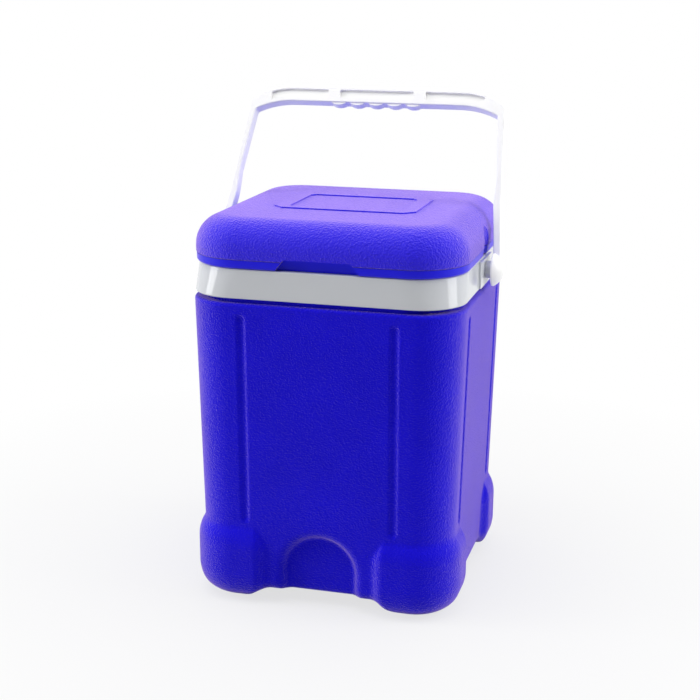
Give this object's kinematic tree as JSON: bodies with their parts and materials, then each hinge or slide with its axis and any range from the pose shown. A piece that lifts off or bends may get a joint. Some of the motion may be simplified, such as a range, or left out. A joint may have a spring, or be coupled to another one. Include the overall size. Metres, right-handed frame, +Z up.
{
  "type": "vaccine carrier",
  "caption": "Square insulated cold box with a hinged domed lid, a plug that fills its mouth, swollen corner feet and a swinging bail handle.",
  "frame": {"origin": "on the floor, under the middle of the box", "axes": "+Z up, +Y towards the rear where the lid's hinges are, +X to the right seen from the front; the finger notch faces -Y and the handle's axis lies along X"},
  "size_m": [0.3206, 0.285, 0.5169],
  "materials": {
    "blue_body": "fine grained blow-moulded polyethylene",
    "blue_lid": "pebble grained polyethylene",
    "blue_rim": "smooth satin polyethylene",
    "white_collar": "glossy polypropylene",
    "white_handle": "satin polypropylene",
    "white_liner": "smooth food-grade polystyrene",
    "foam": "rigid closed-cell polyurethane foam",
    "pin_steel": "stainless steel rod"
  },
  "bodies": {
    "box": {"outer_shell": "blue_body", "body_insulation": "foam", "inner_liner": "white_liner", "collar": "white_collar", "handle_pin_left": "white_collar", "handle_pin_right": "white_collar", "hinge_pin_left": "pin_steel", "hinge_pin_right": "pin_steel"},
    "lid": {"lid_shell": "blue_lid", "lid_base": "blue_rim", "finger_cup": "blue_rim", "lid_insulation": "foam"},
    "handle": {"handle": "white_handle"}
  },
  "joints": [
    {"name": "lid_hinge", "type": "hinge", "parent": "box", "child": "lid", "pos_m": [0, 0.1389, 0.358], "axis": [-1, 0, 0], "range_deg": [0, 30]},
    {"name": "handle_swing", "type": "hinge", "parent": "box", "child": "handle", "pos_m": [0, 0, 0.3433], "axis": [1, 0, 0], "range_deg": [-91, 150]}
  ]
}
